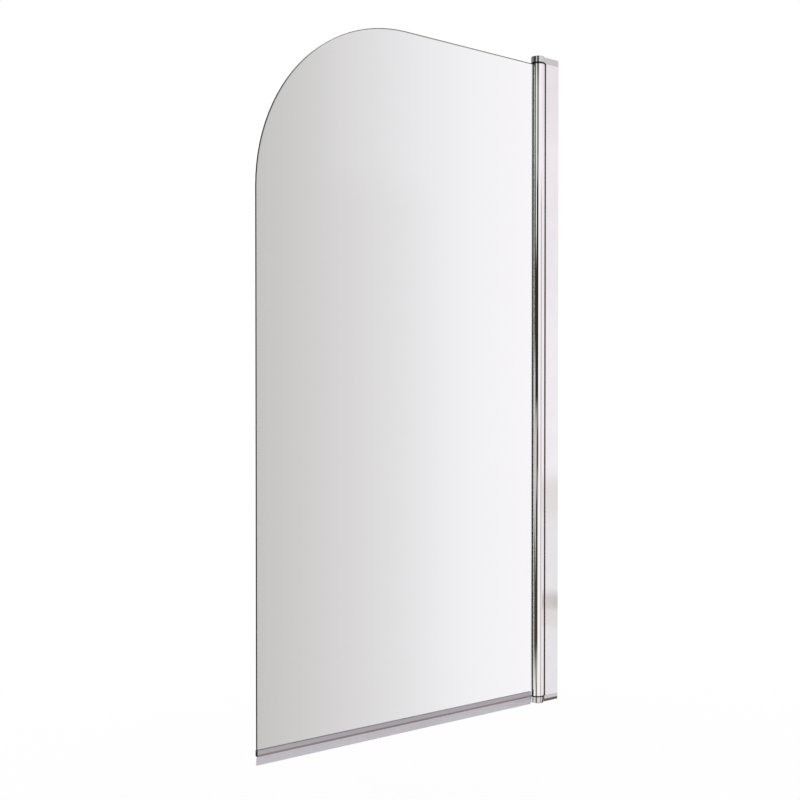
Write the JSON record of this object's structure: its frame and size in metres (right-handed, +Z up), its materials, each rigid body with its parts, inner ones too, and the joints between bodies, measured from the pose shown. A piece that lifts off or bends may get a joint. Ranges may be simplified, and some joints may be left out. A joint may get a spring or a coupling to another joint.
{
  "type": "bath screen",
  "caption": "Hinged bath screen: a glass pane with a rounded corner in a pivot tube that swings between keyhole end caps on a sliding wall post, with a wiping seal below.",
  "frame": {"origin": "on the wall's face, in the middle of the wall channel's width, at the channel's lower end", "axes": "+X into the wall, so the pane reaches towards -X; +Y across the pane, towards the side with the adjusting screws; +Z up, along the pivot"},
  "size_m": [0.78, 0.031, 1.4361],
  "materials": {
    "bright_aluminium": "polished bright extrusion",
    "cap_chrome": "chromed casting, slightly satin",
    "bright_plastic": "chromed moulding",
    "screw_steel": "stainless steel, turned",
    "cast_block": "die casting, plain",
    "black_plastic": "moulded, matt",
    "white_plastic": "moulded, matt",
    "dark_rubber": "extruded, smooth",
    "clear_glass": "polished safety glass with a green edge",
    "clear_seal": "clear stiff extrusion",
    "soft_seal": "translucent soft extrusion"
  },
  "bodies": {
    "wall_side": {"wall_channel": "bright_aluminium", "adjusting_screws": "screw_steel", "clamp_nuts": "screw_steel", "screw_covers": "bright_plastic"},
    "post_side": {"hinge_post": "bright_aluminium", "post_seal": "dark_rubber", "top_cap": "cap_chrome", "top_pivot_block": "cast_block", "top_pivot_pin": "screw_steel", "top_block_screws": "screw_steel", "top_washer": "black_plastic", "bottom_cap": "cap_chrome", "bottom_pivot_block": "cast_block", "bottom_pivot_pin": "screw_steel", "bottom_block_screws": "screw_steel", "bottom_washer": "black_plastic"},
    "screen": {"pivot_tube": "bright_aluminium", "glass_panel": "clear_glass", "front_gasket": "dark_rubber", "rear_gasket": "dark_rubber", "edge_blocks": "black_plastic", "top_bush": "white_plastic", "bottom_bush": "white_plastic", "seal_clip": "clear_seal", "seal_fin": "soft_seal"}
  },
  "joints": [
    {"name": "width_adjustment", "type": "slide", "parent": "wall_side", "child": "post_side", "axis": [-1, 0, 0], "range_m": [0, 0.015]},
    {"name": "screen_swing", "type": "hinge", "parent": "post_side", "child": "screen", "pos_m": [-0.0553, 0, 0.7], "axis": [0, 0, 1], "range_deg": [-90, 90]}
  ]
}
